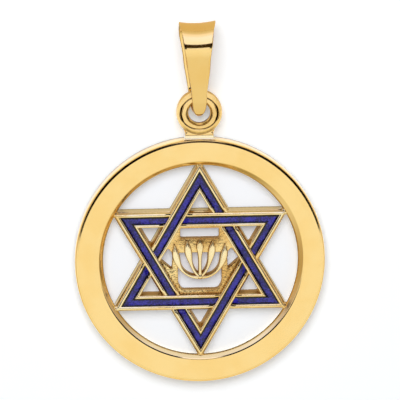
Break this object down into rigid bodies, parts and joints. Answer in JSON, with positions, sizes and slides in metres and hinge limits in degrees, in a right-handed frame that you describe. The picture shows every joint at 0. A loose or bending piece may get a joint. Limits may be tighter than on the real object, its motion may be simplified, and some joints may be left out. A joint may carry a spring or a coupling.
{
  "type": "star of david pendant",
  "caption": "Gold ring pendant with an enamelled hexagram of woven bands, a pierced leaf ornament in its middle, a fixed loop and a tapered bail for a chain.",
  "frame": {"origin": "middle of the disc's back, on the surface that the pendant lies on", "axes": "+Z out of the pendant's front, +Y from the disc's middle to the bail, +X to the right seen from the front"},
  "size_m": [0.02, 0.0296, 0.0036],
  "materials": {
    "gold": "polished yellow gold",
    "blue_enamel": "deep blue enamel"
  },
  "bodies": {
    "root": {"medallion": "gold", "enamel_top": "blue_enamel", "enamel_upper_left": "blue_enamel", "enamel_lower_left": "blue_enamel", "enamel_bottom": "blue_enamel", "enamel_lower_right": "blue_enamel", "enamel_upper_right": "blue_enamel", "bail": "gold"}
  },
  "joints": []
}
